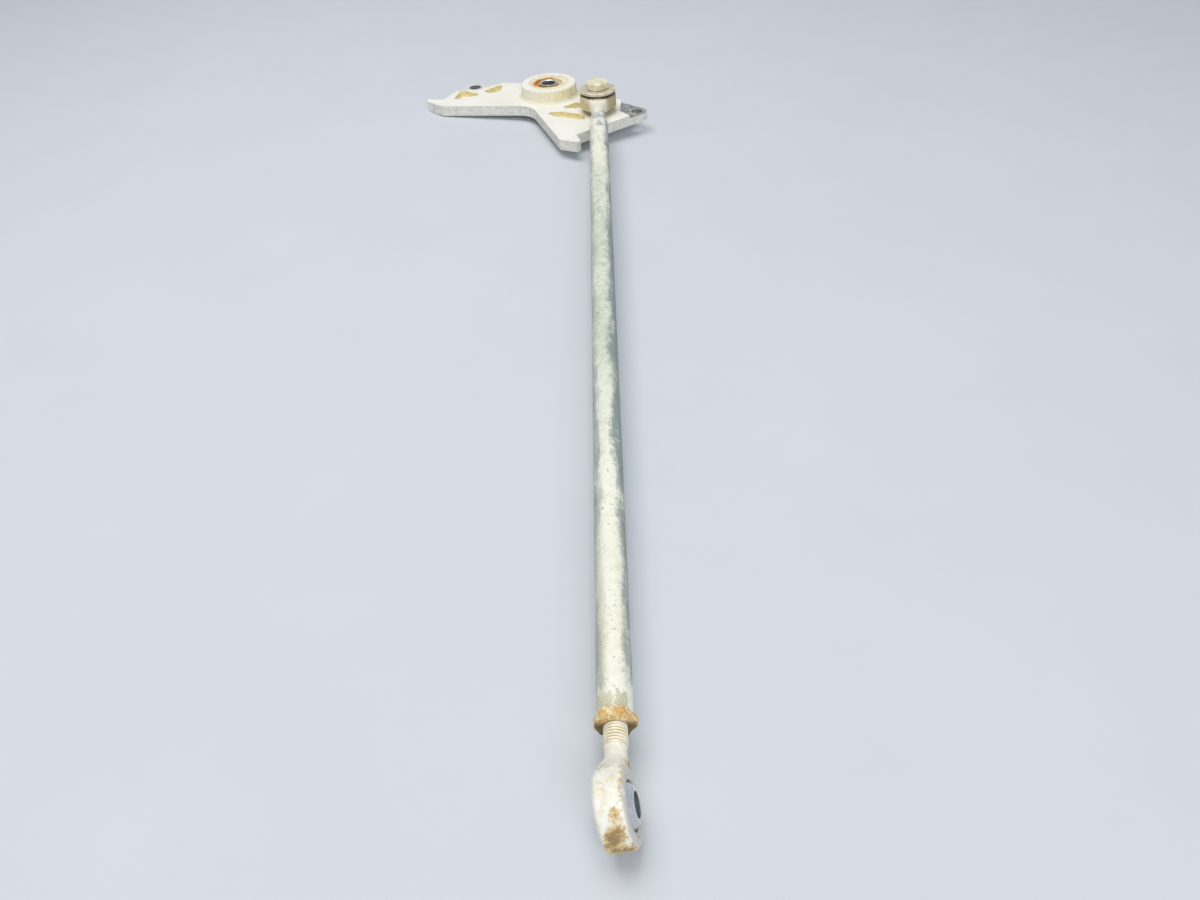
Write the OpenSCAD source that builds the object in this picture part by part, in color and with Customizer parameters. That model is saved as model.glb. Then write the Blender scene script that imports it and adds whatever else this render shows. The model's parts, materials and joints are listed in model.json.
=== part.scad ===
// Aircraft bellcrank with its push rod, lying with the plate level.
// The origin is the centre of the pivot bore, +Z runs up the pivot axis,
// +X is to the right of the bellcrank and the push rod runs along -Y.

/* [Plate] */
// Thickness of the plate
plate_t = 5.6; // [4:0.1:7]
// Radius of the concave fillet where the two arms meet
corner_r = 13; // [6:0.5:18]
// Left arm: direction of its back edge, degrees from +X
left_edge_dir = 165.7; // [160:0.1:170]
// Left arm: distance of the lug hole from the pivot, along the back edge
left_lug_reach = 49.1; // [46:0.1:54]
// Right arm: direction of its back edge, degrees from +X
right_edge_dir = -41.4; // [-45:0.1:-38]
// Right arm: distance of the lug hole from the pivot, along the back edge
right_lug_reach = 57; // [54:0.1:62]
// Corner where the front edges of the two arms would meet, x and y
inner_corner = [-9.6, -17.7]; // [-30:0.1:0]

/* [Stop tabs] */
// Left tab: root of its notch, x and y
left_notch = [-61.5, -0.3]; // [-70:0.1:5]
// Left tab: back corner, x and y
left_tab_back = [-71, 1.7]; // [-80:0.1:5]
// Left tab: end corner, x and y
left_tab_end = [-70.2, -2.4]; // [-80:0.1:5]
// Left tab: front corner, x and y
left_tab_front = [-61.1, -10.9]; // [-80:0.1:5]
// Front tab: root of its notch, x and y
front_notch = [16.7, -63.6]; // [-75:0.1:25]
// Front tab: right corner, x and y
front_tab_right = [19.1, -72.4]; // [-80:0.1:25]
// Front tab: end corner, x and y
front_tab_end = [17.2, -74.1]; // [-80:0.1:25]
// Front tab: left corner, x and y
front_tab_left = [8, -69.6]; // [-80:0.1:25]

/* [Cable lugs] */
// Radius of the rounded lug ends
lug_r = 5.5; // [5:0.1:6.5]
// Depth of the step milled into the top of each lug
lug_step = 1.5; // [0.5:0.1:2.5]
// Bore of the lug bushings
lug_bore_d = 6.35; // [4.8:0.01:6.6]
// Wall of the lug bushings
lug_bushing_wall = 0.8; // [0.5:0.05:1.1]

/* [Lightening pockets] */
// Depth of the pockets in the top of the plate
pocket_depth = 3.2; // [1:0.1:3.6]
// Corner radius of the pockets
pocket_r = 1.8; // [1.2:0.1:2]

/* [Hub] */
// Outside diameter of the hub at its top
hub_d = 31.3; // [29:0.1:34]
// Height of the hub, from the plate's underside to its rim
hub_h = 12.4; // [12:0.1:16]
// How much wider the hub's radius is at the plate than at the rim
hub_draft = 0.25; // [0.05:0.05:0.6]
// Chamfer on the hub's rim
hub_chamfer = 0.5; // [0.2:0.1:1]
// Radius of the fillet between hub and plate
hub_fillet = 1.2; // [0.5:0.1:2]

/* [Pivot bearing] */
// Outside diameter of the bearing
bearing_d = 22.9; // [22.4:0.1:24]
// Width of the bearing's outer ring
outer_ring_w = 12; // [11:0.1:12.4]
// Inside diameter of the recess that shows above each shield
recess_d = 15.4; // [15:0.1:16.4]
// Depth of that recess, from the outer ring's face to the shield
recess_depth = 1.4; // [0.6:0.1:1.8]
// Thickness of a shield
shield_t = 0.5; // [0.3:0.1:0.8]
// Width of the ledge that a shield rests on
shield_ledge = 0.4; // [0.3:0.05:0.5]
// Outside diameter of the inner ring
inner_ring_d = 10.4; // [10.2:0.1:10.6]
// Width of the inner ring
inner_ring_w = 12.3; // [11:0.1:13]
// Pivot bore
pivot_bore_d = 7.94; // [6.35:0.01:7.94]
// Chamfer at each end of the pivot bore
bore_chamfer = 0.4; // [0.2:0.1:0.6]
// Diameter of the bearing balls
bearing_ball_d = 3.175; // [3:0.005:3.3]
// Running clearance between balls, raceways and neighbours
bearing_clearance = 0.05; // [0.02:0.01:0.08]
// Clearance between a shield and the inner ring
shield_clearance = 0.3; // [0.2:0.05:0.5]

/* [Rod attachment] */
// Bolt axis, x and y from the pivot
bolt_at = [28.4, -30.8]; // [-34:0.1:32]
// Bolt shank diameter
bolt_d = 6.3; // [6:0.01:6.31]
// Width across the flats of the bolt head and its nut
hex_af = 11.1; // [10.5:0.1:12]
// Height of the bolt head
bolt_head_h = 4; // [3:0.1:5]
// Turn of the bolt head about its axis, degrees
bolt_turn = -17; // [-30:1:30]
// Diameter of the large washer under the bolt head
top_washer_d = 19.6; // [16:0.1:21]
// Thickness of the washers above the plate
washer_t = 1.6; // [1.2:0.1:2]
// Diameter of the washers on the plate
washer_d = 12.7; // [12:0.1:14]
// Thickness of the washer under the plate
under_washer_t = 0.8; // [0.5:0.1:1.6]
// Height of the lock nut
lock_nut_h = 4.4; // [4:0.1:6]
// Height of the locking ring in the nut
lock_ring_h = 1.2; // [0.8:0.1:1.6]
// Clearance on the radius between the bolt shank and what it passes through
bolt_clearance = 0.03; // [0.01:0.01:0.1]

/* [Rod ends] */
// Diameter of the rod end heads
head_d = 19.8; // [18:0.1:21]
// Thickness of the rod end heads
head_t = 7.8; // [7:0.1:8.2]
// Chamfer around the head's faces
head_chamfer = 0.9; // [0.4:0.1:1.2]
// Outside diameter of the bearing race
race_d = 14.3; // [14:0.1:15]
// Width of the bearing race
race_w = 7.2; // [6.6:0.1:7.4]
// Diameter of the ball
ball_d = 12.7; // [12.4:0.1:12.9]
// Width of the ball across its flat faces
ball_w = 9.525; // [9.2:0.005:9.8]
// Running clearance between ball and race, on the radius
ball_clearance = 0.05; // [0.02:0.01:0.08]
// Length of the flare between head and neck, from the eye's centre
flare_end = 13; // [12:0.1:14]

/* [Push rod] */
// Distance between the two eye centres
rod_len = 444.4; // [300:0.1:600]
// Fall of the rod from the bellcrank to its near end, degrees
rod_slope = 0.96; // [0:0.02:2]
// Turn of the rod to the right, degrees
rod_yaw = 0.62; // [-5:0.02:5]
// Turn of the near eye about the rod, from the far eye, degrees
near_clock = 77; // [0:1:90]
// Outside diameter of the tube
tube_d = 9.525; // [9:0.005:10]
// Wall of the tube
tube_wall = 0.89; // [0.7:0.01:1]
// Diameter of the far rod end's neck
far_neck_d = 6.7; // [6.4:0.1:7]
// Distance from the far eye to the tube's swaged mouth
far_neck_end = 23; // [20:0.5:28]
// Outside diameter of the swaged mouth
swage_d = 7.9; // [7.7:0.1:8.4]
// Length of the straight part of the swage
swage_len = 4; // [2:0.5:8]
// Length of the taper from the swage to the full tube
taper_len = 10; // [6:0.5:16]
// Length of the far shank inside the tube
far_shank_len = 24; // [12:0.5:30]

/* [Adjustable end] */
// Distance from the near eye to the tube's end
near_gap = 26.1; // [24:0.1:36]
// Distance from the near eye to the start of the thread
thread_start = 16.5; // [14.5:0.1:18]
// Thread diameter of the near shank
thread_d = 6.35; // [6:0.01:6.4]
// Diameter of the near rod end's neck
near_neck_d = 5.8; // [5.4:0.1:6]
// Width across the flats of the jam nut
jam_nut_af = 10.6; // [10:0.1:12]
// Thickness of the jam nut
jam_nut_t = 3.4; // [3:0.1:5.6]
// Turn of the jam nut about the rod, degrees
jam_nut_turn = 10; // [-30:1:30]
// Chamfer on the corners of bolt head and nuts
hex_chamfer = 0.7; // [0.3:0.1:0.8]
// Length of thread inside the tube
thread_engaged = 19; // [12:0.5:26]
// Length of the threaded insert inside the tube
insert_len = 22; // [14:0.5:30]

/* [Hidden] */
$fn = 96;

// How far a cutting solid runs past the faces that it cuts
past = 1;

// Heights on the pivot axis
hub_top = hub_h / 2;
plate_bottom = -hub_h / 2;
plate_top = plate_bottom + plate_t;
lug_top = plate_top - lug_step;
hub_r = hub_d / 2;

// A point in an arm's own frame: u runs out along its back edge from the pivot,
// v is the distance to the outside of that edge, and side is 1 or -1
function arm_point(dir, side, u, v) =
    [u * cos(dir) - side * v * sin(dir), u * sin(dir) + side * v * cos(dir)];

// The point where a line from p touches a circle, on the side that is given
function touch_point(p, centre, r, side) =
    let (to = centre - p,
         reach = sqrt(norm(to) * norm(to) - r * r),
         dir = atan2(to[1], to[0]) + side * asin(r / norm(to)))
    p + reach * [cos(dir), sin(dir)];

// Lug holes: each lug's round end touches the arm's back edge, which touches the hub
lug_offset = hub_r - lug_r;
left_lug = arm_point(left_edge_dir, -1, left_lug_reach, lug_offset);
right_lug = arm_point(right_edge_dir, 1, right_lug_reach, lug_offset);

// The milled step's edge, in the arm's frame, measured from the lug hole
step_edge = [[5.8, -11.1], [-5.9, -7.6], [-16.3, 6.1]];
// How far the milling cutter runs out past the lug
step_run = 30;

// Flat steps around each rounded corner of a pocket
corner_steps = 10;
// Corner centres of the lightening pockets, clockwise
pockets = [
    [[-53.4, 1.4], [-51.4, 10.2], [-50.2, 10.2], [-43.2, 5.2]],
    [[-36.8, 10.2], [-30.2, 16.8], [-30.8, 9.6], [-34.6, 8.2]],
    [[10.8, -22], [16, -17.8], [17, -23.4]],
    [[2.2, -30.8], [7.2, -30.6], [17, -35.6], [19.6, -40.4], [15.8, -40.4], [4.6, -33.8]]];

// Bushings in the lugs
lug_bushing_d = lug_bore_d + 2 * lug_bushing_wall;

// Pivot bearing
bearing_r = bearing_d / 2;
recess_r = recess_d / 2;
shield_top = outer_ring_w / 2 - recess_depth;
shield_bottom = shield_top - shield_t;
outer_land_r = recess_r - shield_ledge;
inner_land_r = inner_ring_d / 2;
pitch_r = (outer_land_r + inner_land_r) / 2;
bearing_ball_r = bearing_ball_d / 2;
ball_count = floor(180 / asin((bearing_ball_r + bearing_clearance) / pitch_r));

// The stack on the bolt, from the plate upwards and downwards
ball_bottom = plate_top + washer_t;
eye_z = ball_bottom + ball_w / 2;
top_washer_z = ball_bottom + ball_w;
bolt_head_z = top_washer_z + washer_t;
under_washer_z = plate_bottom - under_washer_t;
lock_nut_z = under_washer_z - lock_nut_h;
bolt_hole_r = bolt_d / 2 + bolt_clearance;
lock_ring_r = hex_af / 2 - 2 * hex_chamfer;

// Rod ends and tube
head_r = head_d / 2;
ball_r = ball_d / 2;
race_r = race_d / 2;
tube_r = tube_d / 2;
tube_bore_r = tube_r - tube_wall;
swage_r = swage_d / 2;
swage_bore_r = swage_r - tube_wall;
tube_end = rod_len - near_gap;
taper_start = far_neck_end + swage_len;
taper_end = taper_start + taper_len;
face_r = head_r - head_chamfer;
flare_start = head_r / 2;
flare_t = head_t - head_chamfer;

// A ring turned about the pivot axis between two heights
module ring(r_out, r_in, z_low, z_high) {
    translate([0, 0, z_low])
        difference() {
            cylinder(r = r_out, h = z_high - z_low);
            translate([0, 0, -past])
                cylinder(r = r_in, h = z_high - z_low + 2 * past);
        }
}

// A flat prism of the given outline between two heights
module prism(outline, z_low, z_high) {
    translate([0, 0, z_low])
        linear_extrude(z_high - z_low)
            polygon(outline);
}

// A round groove around the pivot axis that the bearing balls run in
module ball_groove() {
    rotate_extrude()
        translate([pitch_r, 0])
            circle(r = bearing_ball_r + bearing_clearance);
}

// A hexagonal prism with its corners turned off at both ends
module hex_prism(across, height) {
    hex_r = across / sqrt(3);
    end_r = hex_r - 2 * hex_chamfer;
    intersection() {
        cylinder(r = hex_r, h = height, $fn = 6);
        rotate_extrude()
            polygon([[0, 0], [end_r, 0], [hex_r, hex_chamfer],
                [hex_r, height - hex_chamfer], [end_r, height], [0, height]]);
    }
}

// Outline of the plate without the round lug ends and the hub
function plate_outline() =
    let (left_dir = [cos(left_edge_dir), sin(left_edge_dir)],
         right_dir = [cos(right_edge_dir), sin(right_edge_dir)],
         left_out = arm_point(left_edge_dir, -1, 0, 1),
         right_out = arm_point(right_edge_dir, 1, 0, 1))
    [left_tab_front, left_tab_end, left_tab_back, left_notch,
     touch_point(left_notch, left_lug, lug_r, 1),
     left_lug_reach * left_dir + hub_r * left_out,
     hub_r * left_out,
     hub_r * right_out,
     right_lug_reach * right_dir + hub_r * right_out,
     touch_point(front_notch, right_lug, lug_r, -1),
     front_notch, front_tab_right, front_tab_end, front_tab_left, inner_corner];

// The web that fills the corner between the arms up to its concave fillet
module corner_fillet() {
    to_left = (left_tab_front - inner_corner) / norm(left_tab_front - inner_corner);
    to_front = (front_tab_left - inner_corner) / norm(front_tab_left - inner_corner);
    half_angle = acos(to_left * to_front) / 2;
    reach = corner_r / tan(half_angle);
    bisector = (to_left + to_front) / norm(to_left + to_front);
    centre = inner_corner + bisector * corner_r / sin(half_angle);
    back = inner_corner - bisector * past;
    difference() {
        prism([inner_corner + to_left * reach, centre, inner_corner + to_front * reach, back],
            plate_bottom, plate_top);
        translate([centre[0], centre[1], plate_bottom - past])
            cylinder(r = corner_r, h = plate_t + 2 * past);
    }
}

// The block that the milling cutter takes off the top of a lug
module lug_cut(dir, side, reach) {
    edge = [for (p = step_edge) arm_point(dir, side, reach + p[0], lug_offset + p[1])];
    outer = [arm_point(dir, side, reach - step_run / 2, lug_offset + step_run),
        arm_point(dir, side, reach + step_run, lug_offset + step_run),
        arm_point(dir, side, reach + step_run, lug_offset - step_run / 2)];
    prism(concat(edge, outer), lug_top, plate_top + past);
}

// Direction of the line from a to b, degrees
function line_dir(a, b) = atan2(b[1] - a[1], b[0] - a[0]);

// Outline with round corners about the given centres, which run clockwise
function round_outline(centres, r) =
    let (n = len(centres))
    [for (i = [0:n - 1])
        let (start = line_dir(centres[(i + n - 1) % n], centres[i]) + 90,
             end = line_dir(centres[i], centres[(i + 1) % n]) + 90,
             turn = (start - end + 360) % 360)
        for (k = [0:corner_steps])
            let (dir = start - turn * k / corner_steps)
            centres[i] + r * [cos(dir), sin(dir)]];

// One lightening pocket with round corners
module pocket(centres) {
    prism(round_outline(centres, pocket_r), plate_top - pocket_depth, plate_top + past);
}

// The hub's wall, with its draft, rim chamfer and the fillet at the plate
module hub_wall() {
    base_r = hub_r + hub_draft;
    rotate_extrude()
        polygon([[0, plate_bottom], [base_r, plate_bottom], [base_r, plate_top],
            [hub_r, hub_top - hub_chamfer], [hub_r - hub_chamfer, hub_top], [0, hub_top]]);
    intersection() {
        rotate_extrude()
            difference() {
                translate([hub_r - past, plate_top - past])
                    square([hub_fillet + hub_draft + past, hub_fillet + past]);
                translate([base_r + hub_fillet, plate_top + hub_fillet])
                    circle(r = hub_fillet);
            }
        prism(plate_outline(), plate_bottom, hub_top);
    }
}

module lug_hole(at, r) {
    translate([at[0], at[1], plate_bottom - past])
        cylinder(r = r, h = plate_t + 2 * past);
}

module crank_plate() {
    color("ivory")
        difference() {
            union() {
                prism(plate_outline(), plate_bottom, plate_top);
                corner_fillet();
                for (at = [left_lug, right_lug])
                    translate([at[0], at[1], plate_bottom])
                        cylinder(r = lug_r, h = plate_t);
                hub_wall();
            }
            lug_cut(left_edge_dir, -1, left_lug_reach);
            lug_cut(right_edge_dir, 1, right_lug_reach);
            for (centres = pockets)
                pocket(centres);
            translate([0, 0, plate_bottom - past])
                cylinder(r = bearing_r, h = hub_h + 2 * past);
            lug_hole(left_lug, lug_bushing_d / 2);
            lug_hole(right_lug, lug_bushing_d / 2);
            lug_hole(bolt_at, bolt_hole_r);
        }
}

module lug_bushing(at) {
    color("darkgray")
        translate([at[0], at[1], 0])
            ring(lug_bushing_d / 2, lug_bore_d / 2, plate_bottom, lug_top);
}

module left_lug_bushing() {
    lug_bushing(left_lug);
}

module right_lug_bushing() {
    lug_bushing(right_lug);
}

module pivot_outer_ring() {
    half_w = outer_ring_w / 2;
    color("khaki")
        difference() {
            ring(bearing_r, outer_land_r, -half_w, half_w);
            for (z = [shield_bottom, -half_w - past])
                translate([0, 0, z])
                    cylinder(r = recess_r, h = half_w - shield_bottom + past);
            ball_groove();
        }
}

module pivot_inner_ring() {
    half_w = inner_ring_w / 2;
    bore_r = pivot_bore_d / 2;
    color("silver")
        difference() {
            rotate_extrude()
                polygon([[bore_r, bore_chamfer - half_w], [bore_r + bore_chamfer, -half_w],
                    [inner_land_r, -half_w], [inner_land_r, half_w],
                    [bore_r + bore_chamfer, half_w], [bore_r, half_w - bore_chamfer]]);
            ball_groove();
        }
}

module pivot_balls() {
    color("lightgray")
        for (i = [0:ball_count - 1])
            rotate([0, 0, i * 360 / ball_count])
                translate([pitch_r, 0, 0])
                    sphere(r = bearing_ball_r);
}

module pivot_shield() {
    color("sienna")
        ring(recess_r, inner_land_r + shield_clearance, shield_bottom, shield_top);
}

module pivot_upper_shield() {
    pivot_shield();
}

module pivot_lower_shield() {
    mirror([0, 0, 1])
        pivot_shield();
}

// Puts a piece on the bolt axis
module on_bolt() {
    translate([bolt_at[0], bolt_at[1], 0])
        children();
}

module attach_bolt() {
    color("darkkhaki")
        on_bolt()
            union() {
                translate([0, 0, bolt_head_z])
                    rotate([0, 0, bolt_turn])
                        hex_prism(hex_af, bolt_head_h);
                translate([0, 0, lock_nut_z])
                    cylinder(d = bolt_d, h = bolt_head_z - lock_nut_z + bolt_head_h / 2);
            }
}

module top_washer() {
    color("tan")
        on_bolt()
            ring(top_washer_d / 2, bolt_hole_r, top_washer_z, bolt_head_z);
}

module lower_washer() {
    color("tan")
        on_bolt()
            ring(washer_d / 2, bolt_hole_r, plate_top, ball_bottom);
}

module under_washer() {
    color("tan")
        on_bolt()
            ring(washer_d / 2, bolt_hole_r, under_washer_z, plate_bottom);
}

module lock_nut() {
    color("darkkhaki")
        on_bolt()
            translate([0, 0, lock_nut_z])
                difference() {
                    hex_prism(hex_af, lock_nut_h);
                    translate([0, 0, -past])
                        cylinder(r = bolt_d / 2, h = lock_nut_h + 2 * past);
                    translate([0, 0, -past])
                        cylinder(r = lock_ring_r, h = lock_ring_h + past);
                }
}

module lock_nut_insert() {
    color("firebrick")
        on_bolt()
            ring(lock_ring_r, bolt_d / 2, lock_nut_z, lock_nut_z + lock_ring_h);
}

// The rod's frame: far eye at the origin, rod along -Y
module on_rod() {
    translate([bolt_at[0], bolt_at[1], eye_z])
        rotate([rod_slope, 0, rod_yaw])
            children();
}

// The near eye's frame: its shank runs along -Y, towards the tube
module on_near_eye() {
    on_rod()
        translate([0, -rod_len, 0])
            rotate([0, -near_clock, 180])
                children();
}

// Turns a shape that stands on Z so that it lies along the rod, from a distance
module along_rod(from) {
    translate([0, -from, 0])
        rotate([90, 0, 0])
            children();
}

// A rod end's head, flare and neck, with the seat of its race
module rod_end_head(neck_d, neck_end) {
    half_t = head_t / 2;
    difference() {
        union() {
            rotate_extrude()
                polygon([[0, -half_t], [face_r, -half_t], [head_r, head_chamfer - half_t],
                    [head_r, half_t - head_chamfer], [face_r, half_t], [0, half_t]]);
            intersection() {
                along_rod(flare_start)
                    cylinder(r1 = face_r, r2 = neck_d / 2, h = flare_end - flare_start);
                translate([-head_r, -head_d, -flare_t / 2])
                    cube([head_d, head_d, flare_t]);
            }
            along_rod(flare_start)
                cylinder(d = neck_d, h = neck_end - flare_start);
        }
        translate([0, 0, -head_t])
            cylinder(r = race_r, h = 2 * head_t);
    }
}

// A bearing race: a ring with a spherical seat for the ball
module race() {
    difference() {
        translate([0, 0, -race_w / 2])
            cylinder(r = race_r, h = race_w);
        sphere(r = ball_r + ball_clearance);
    }
}

// A ball with flat faces and a bore
module eye_ball() {
    difference() {
        intersection() {
            sphere(r = ball_r);
            translate([0, 0, -ball_w / 2])
                cylinder(r = ball_d, h = ball_w);
        }
        translate([0, 0, -ball_w])
            cylinder(r = bolt_hole_r, h = 2 * ball_w);
    }
}

module far_rod_end() {
    color("darkkhaki")
        on_rod()
            union() {
                rod_end_head(far_neck_d, far_neck_end);
                along_rod(far_neck_end)
                    cylinder(r = swage_bore_r, h = far_shank_len);
            }
}

module far_race() {
    color("gray")
        on_rod()
            race();
}

module far_ball() {
    color("lightsteelblue")
        translate([bolt_at[0], bolt_at[1], eye_z])
            eye_ball();
}

module rod_tube() {
    color("lightgray")
        on_rod()
            along_rod(0)
                rotate_extrude()
                    polygon([[swage_bore_r, far_neck_end], [swage_r, far_neck_end],
                        [swage_r, taper_start], [tube_r, taper_end],
                        [tube_r, tube_end], [tube_bore_r, tube_end],
                        [tube_bore_r, taper_end], [swage_bore_r, taper_start]]);
}

module threaded_insert() {
    color("gray")
        on_rod()
            along_rod(tube_end - insert_len)
                ring(tube_bore_r, thread_d / 2, 0, insert_len);
}

module near_rod_end() {
    color("wheat")
        on_near_eye()
            union() {
                rod_end_head(near_neck_d, thread_start);
                along_rod(thread_start)
                    cylinder(d = thread_d, h = near_gap + thread_engaged - thread_start);
            }
}

module near_race() {
    color("gray")
        on_near_eye()
            race();
}

module near_ball() {
    color("lightsteelblue")
        on_near_eye()
            eye_ball();
}

module jam_nut() {
    color("peru")
        on_rod()
            along_rod(tube_end)
                difference() {
                    rotate([0, 0, jam_nut_turn])
                        hex_prism(jam_nut_af, jam_nut_t);
                    translate([0, 0, -past])
                        cylinder(d = thread_d, h = jam_nut_t + 2 * past);
                }
}

crank_plate();
left_lug_bushing();
right_lug_bushing();
pivot_outer_ring();
pivot_inner_ring();
pivot_balls();
pivot_upper_shield();
pivot_lower_shield();
attach_bolt();
top_washer();
lower_washer();
under_washer();
lock_nut();
lock_nut_insert();
far_rod_end();
far_race();
far_ball();
rod_tube();
threaded_insert();
near_rod_end();
near_race();
near_ball();
jam_nut();
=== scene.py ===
# %% [markdown]
# # A weathered bellcrank and its push rod
# The solids come packed from the modeller, in metres, with the pivot bore at the origin.
# Blender only dresses them: it rounds edges, cuts threads, lifts rust and paints.
# Every new piece is worked out in the same frame, so nothing has to be fitted by hand.

# %% Load the solids
import json
import bmesh
import bpy
import numpy as np
from mathutils import Matrix


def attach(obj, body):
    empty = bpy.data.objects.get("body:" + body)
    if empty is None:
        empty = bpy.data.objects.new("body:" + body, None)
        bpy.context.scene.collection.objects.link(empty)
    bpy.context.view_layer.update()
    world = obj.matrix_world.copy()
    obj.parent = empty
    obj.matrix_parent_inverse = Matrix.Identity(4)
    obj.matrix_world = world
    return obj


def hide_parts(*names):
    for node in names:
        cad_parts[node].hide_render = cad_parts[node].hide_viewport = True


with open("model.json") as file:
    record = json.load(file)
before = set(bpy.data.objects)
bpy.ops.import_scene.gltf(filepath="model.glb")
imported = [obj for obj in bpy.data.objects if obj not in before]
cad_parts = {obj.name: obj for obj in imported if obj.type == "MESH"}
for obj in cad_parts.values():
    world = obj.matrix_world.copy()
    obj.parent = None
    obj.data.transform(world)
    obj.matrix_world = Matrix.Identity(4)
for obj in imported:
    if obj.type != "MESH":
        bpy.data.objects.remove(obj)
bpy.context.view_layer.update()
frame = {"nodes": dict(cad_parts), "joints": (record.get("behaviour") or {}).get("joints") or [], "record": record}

MM = 0.001
scene = bpy.context.scene
joints = {j["name"]: j for j in frame["joints"]}

# %% [markdown]
# ## The camera
# A camera can be placed by eye or from known directions.
# Known directions are better here: the round hub and the long straight rod fix the view,
# so the place, the right-hand direction and the line of sight are written as numbers.
# The lens follows from the focal length in pixels on a frame 1200 pixels wide.

# %% Place the camera
FRAME_W_PX, FOCAL_PX, SENSOR_MM = 1200, 1100.0, 36.0
EYE = np.array([0.04075, -0.62780, 0.22068])
SIGHT = np.array([-0.03186, 0.79340, -0.60797])
RIGHT = np.array([0.99863, 0.0, -0.05234])


def unit(v):
    """The vector divided by its own length."""
    return np.asarray(v, float) / np.linalg.norm(v)


def placed(name, data):
    """A new object in the scene that holds the data."""
    obj = bpy.data.objects.new(name, data)
    scene.collection.objects.link(obj)
    return obj


def turned(x, y, z, place):
    """A matrix whose columns are three directions and a place."""
    m = np.eye(4)
    m[:3] = np.stack([x, y, z, place], 1)
    return Matrix(m.tolist())


sight = unit(SIGHT)
right = unit(RIGHT - sight * (RIGHT @ sight))
above = np.cross(right, sight)
cam_data = bpy.data.cameras.new("view")
cam_data.sensor_fit = "HORIZONTAL"
cam_data.sensor_width = SENSOR_MM
cam_data.lens = SENSOR_MM * FOCAL_PX / FRAME_W_PX
cam_data.clip_start = 0.01
cam = placed("view", cam_data)
cam.matrix_world = turned(right, above, -sight, EYE)
scene.camera = cam
print("lens", round(cam_data.lens, 2))

# %% [markdown]
# ## Floor and light
# The part rests on three spots: the left stop tab, the nut under the plate and the near eye.
# They lie on a plane that leans a few degrees to the right, so the floor leans and the part stays put.
# To the left of the tab the sheet bends down again, so that the rod can swing over it.
# One broad lamp overhead gives bright tops and darker walls, a small one in front fills the shade,
# and the world lights the rest evenly.

# %% Lay the floor and hang the lamps
FLOOR_LEAN = -0.0559
FLOOR_AT_X, FLOOR_AT_Z = -71.0 * MM, -6.25 * MM
FLOOR_REACH = 6.0
BEND_LEN, BEND_SLOPE = 200.0 * MM, 0.1059


def floor_sheet():
    """With u = x - x0: z = z0 + lean * u, and left of x0 also - slope / (2 * len) * v * v, where v = -u
    up to the bend's length; beyond it the sheet is straight again."""
    x = np.concatenate([[-FLOOR_REACH], FLOOR_AT_X - BEND_LEN * np.linspace(1, 0, 25), [FLOOR_REACH]])
    u = x - FLOOR_AT_X
    v = np.clip(-u, 0, BEND_LEN)
    z = FLOOR_AT_Z + FLOOR_LEAN * u - BEND_SLOPE * (v * v / (2 * BEND_LEN) + np.clip(-u - BEND_LEN, 0, None))
    points = [(a, side * FLOOR_REACH, b) for a, b in zip(x, z) for side in (-1, 1)]
    mesh = bpy.data.meshes.new("floor")
    mesh.from_pydata(points, [], [(2 * k, 2 * k + 2, 2 * k + 3, 2 * k + 1) for k in range(len(x) - 1)])
    mesh.shade_smooth()
    return mesh


floor = placed("floor", floor_sheet())


def lamp(name, place, aim, size, watts, colour):
    """A square soft lamp at a place, turned to a point."""
    data = bpy.data.lights.new(name, "AREA")
    data.size, data.energy, data.color = size, watts, colour
    back = unit(np.subtract(place, aim))
    side = unit(np.cross([0.0, 1.0, 0.02], back))
    placed(name, data).matrix_world = turned(side, np.cross(back, side), back, place)


lamp("overhead", (-0.15, -0.15, 1.15), (0.02, -0.22, 0.0), 0.9, 9.2, (1.0, 0.985, 0.95))
lamp("front", (0.35, -1.5, 0.75), (0.02, -0.25, 0.0), 0.8, 8.5, (0.98, 0.985, 1.0))
world = bpy.data.worlds.new("room")
world.use_nodes = True
scene.world = world
scene.view_settings.view_transform = "Standard"
print("lamps 2")

# %% [markdown]
# ## Shader sums as plain expressions
# A finish is a sum of masks: dirt where it is low, bare metal where an edge is worn.
# Wiring each Math node by hand hides that sum. A small class wraps a socket, so that
# `1 - mask * grain` adds the nodes by itself, and one method makes every other kind of node.


# %% A value that does arithmetic
class Value:
    """A shader socket; each operator adds one Math node."""

    def __init__(self, finish, socket):
        self.finish, self.socket = finish, socket

    def __add__(self, other):
        return self.finish.sum_of("ADD", self, other)

    def __sub__(self, other):
        return self.finish.sum_of("SUBTRACT", self, other)

    def __rsub__(self, other):
        return self.finish.sum_of("SUBTRACT", other, self)

    def __mul__(self, other):
        return self.finish.sum_of("MULTIPLY", self, other)

    def __pow__(self, other):
        return self.finish.sum_of("POWER", self, other)

    __radd__, __rmul__ = __add__, __mul__

    def part(self, axis):
        """One of a vector's three parts."""
        return self.finish.node("ShaderNodeSeparateXYZ", None, {0: self}, axis)

    def step(self, low, high):
        """0 below low, 1 above high and a smooth rise between them; swapped limits fall."""
        return self.finish.node("ShaderNodeMapRange", {"interpolation_type": "SMOOTHSTEP"},
                                {"Value": self, "From Min": low, "From Max": high})


# %% [markdown]
# ## A finish
# A material is a tree of nodes that ends in one shader. The finish owns that tree: one method makes
# any node, and short ones name the patterns used here, such as noise, flecks, scratches and masks.
# All of them work in millimetres on Object coordinates, so a pattern keeps the size it has on the part.


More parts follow.
